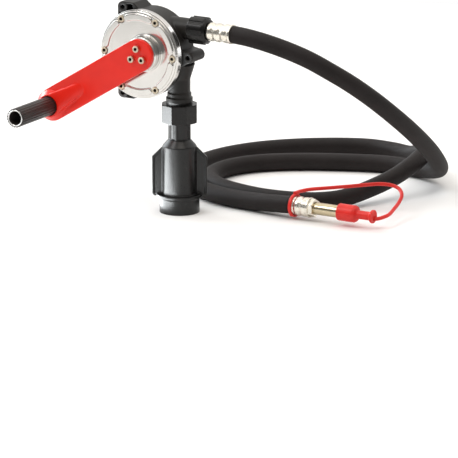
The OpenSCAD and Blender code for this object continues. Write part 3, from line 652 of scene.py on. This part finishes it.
def add_strap_ring(bm):
    """Adds the strap's ring, round the nozzle's ferrule, to a mesh."""
    low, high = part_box("nozzle_ferrule")
    centre = (low + high) / 2
    x0 = low.x + RING_FROM
    corner = RING_EDGE * RING_EDGE_CUT
    profile = [
        (RING_INNER, 0), (RING_OUTER - RING_EDGE, 0), (RING_OUTER - corner, corner), (RING_OUTER, RING_EDGE),
        (RING_OUTER, RING_WIDE - RING_EDGE), (RING_OUTER - corner, RING_WIDE - corner),
        (RING_OUTER - RING_EDGE, RING_WIDE), (RING_INNER, RING_WIDE),
    ]
    loops = []
    for r, x in profile:
        loop = []
        for k in range(RING_SIDES):
            c, s = round_place(k, RING_SIDES)
            loop.append(bm.verts.new((x0 + x, centre.y + r * c, centre.z + r * s)))
        loops.append(loop)
    for i, ring in enumerate(loops):
        after = loops[(i + 1) % len(loops)]
        for k in range(RING_SIDES):
            n = (k + 1) % RING_SIDES
            face = bm.faces.new((ring[k], ring[n], after[n], after[k]))
            face.smooth = 0 < i < len(loops) - 2


def strap():
    """The cap's strap: a round cord and the ring that holds it on the ferrule, in one moulding."""
    line = smooth_line(STRAP_ROUTE, STRAP_STEPS)
    obj = swept("cap_tie", line, STRAP_RADIUS, STRAP_SIDES, (1, 0, 0), (0, -1, 0))
    bm = bmesh.new()
    bm.from_mesh(obj.data)
    add_strap_ring(bm)
    bmesh.ops.recalc_face_normals(bm, faces=bm.faces)
    bm.to_mesh(obj.data)
    bm.free()
    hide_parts("cap_strap")
    paint(obj, "cap_rubber")
    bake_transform(obj)


strap()
paint(hose, "hose_rubber")
tuple(HOSE_LINE[0])
round(length_of(HOSE_LINE), 3)
[tuple(p) for p in HOSE_LINE]

# ---------------------------------------------------------------- floor, light and surroundings

FLOOR_RADIUS = 1.5
FLOOR_SIDES = 160
FLOOR_COLOUR = (0.9, 0.9, 0.9, 1)
REFLECTOR_COLOUR = (0.94, 0.98, 1)
REFLECTOR_LIFT = 0.002


def floor():
    """A white disc where the drum's head would be."""
    bm = bmesh.new()
    bmesh.ops.create_circle(bm, cap_ends=True, radius=FLOOR_RADIUS, segments=FLOOR_SIDES)
    obj = object_of(bm, "floor")
    s = Shader("floor_paper")
    s.set(base_color=FLOOR_COLOUR, roughness=0.9, specular_ior_level=0.1)
    obj.data.materials.append(s.material)


def only_in_gloss(lamp, pieces):
    """The lamp shows only as a reflection, and only in these pieces."""
    lamp.visible_camera = False
    lamp.visible_diffuse = False
    shown_in = bpy.data.collections.new(lamp.name + "_pieces")
    for piece in pieces:
        shown_in.objects.link(bpy.data.objects[piece])
    lamp.light_linking.receiver_collection = shown_in
    lamp.light_linking.blocker_collection = shown_in


def soft_sun(name, azimuth, elevation, spread, strength, colour=(1, 1, 1), glint_on=()):
    """A far, wide light: on everything, or only as a glint on some pieces. Its angles are in degrees."""
    data = bpy.data.lights.new(name, "SUN")
    data.angle = math.radians(spread)
    data.energy = strength
    data.color = colour
    obj = link(bpy.data.objects.new(name, data))
    turn_to(obj, *view_axes(math.radians(azimuth), math.radians(elevation)))
    if glint_on:
        only_in_gloss(obj, glint_on)


def floor_reflector(name, azimuth, distance, wide, long, strength, pieces):
    """A sheet of light lying on the floor that only shows in the gloss of some upright pieces."""
    data = bpy.data.lights.new(name, "AREA")
    data.shape = "RECTANGLE"
    data.size = wide
    data.size_y = long
    data.energy = strength
    data.color = REFLECTOR_COLOUR
    across, _, outward = view_axes(math.radians(azimuth), 0)
    obj = link(bpy.data.objects.new(name, data))
    turn_to(obj, across, outward, Vector((0, 0, -1)))
    obj.location = outward * distance + Vector((0, 0, REFLECTOR_LIFT))
    only_in_gloss(obj, pieces)


WHITE = (1, 1, 1, 1)
STUDIO_BASE = 0.2
STUDIO = [
    # azimuth, elevation, how far from there the patch is full and where it ends, in degrees, and its light
    (210.8, 8, 62, 112, (0.66, 0.65, 0.64)),
    (0, 90, 25, 70, (0.55, 0.51, 0.46)),
    (-95, 14, 15, 32, (4.0, 4.3, 4.5)),
]


def surroundings():
    """What the object mirrors: a wall behind it, a warm ceiling and a cool bright panel on its left.

    The camera itself sees plain white.
    """
    world = bpy.data.worlds.new("studio")
    bpy.context.scene.world = world
    world.use_nodes = True
    tree = world.node_tree
    direction = add_node(tree, "TexCoord").outputs["Generated"]
    light = (STUDIO_BASE, STUDIO_BASE, STUDIO_BASE)
    for azimuth, elevation, full, end, colour in STUDIO:
        way = tuple(view_axes(math.radians(azimuth), math.radians(elevation))[2])
        facing = add_node(
            tree, "VectorMath", {0: direction, 1: way}, operation="DOT_PRODUCT",
        ).outputs["Value"]
        share = add_node(tree, "MapRange", {
            "Value": facing,
            "From Min": math.cos(math.radians(end)),
            "From Max": math.cos(math.radians(full)),
        }, interpolation_type="SMOOTHSTEP").outputs["Result"]
        patch = add_node(tree, "VectorMath", {0: colour, "Scale": share}, operation="SCALE").outputs["Vector"]
        light = add_node(tree, "VectorMath", {0: light, 1: patch}, operation="ADD").outputs["Vector"]
    seen = add_node(tree, "LightPath").outputs["Is Camera Ray"]
    shown = add_node(tree, "MixRGB", {"Fac": seen, "Color1": light, "Color2": WHITE}).outputs["Color"]
    tree.links.new(shown, tree.nodes["Background"].inputs["Color"])


floor()
# name, azimuth, elevation, spread, strength, colour, pieces that it glints on
soft_sun("key", -35, 50, 25, 0.9)
soft_sun("top", 60, 70, 40, 0.6, (1, 0.95, 0.88))
soft_sun("lever_glint", -105, 23, 26, 1.5, (1, 0.97, 0.93), ["lever_casting"])
soft_sun("rim_glint", 150, -14, 90, 2.1, (0.97, 0.98, 1), ["cover_plate"])
# name, azimuth, distance, width, length, power, pieces that mirror it
floor_reflector("nut_strip", -57, 0.5, 0.3, 0.9, 18, ["inlet_nut_moulding"])
floor_reflector("left_strip", -57, 0.45, 0.24, 0.8, 9, ["drum_adapter", "pump_casting"])
floor_reflector("front_patch", -18, 0.3, 0.3, 0.4, 0.9, ["drum_adapter"])
surroundings()
bpy.context.scene.view_settings.view_transform = "Standard"
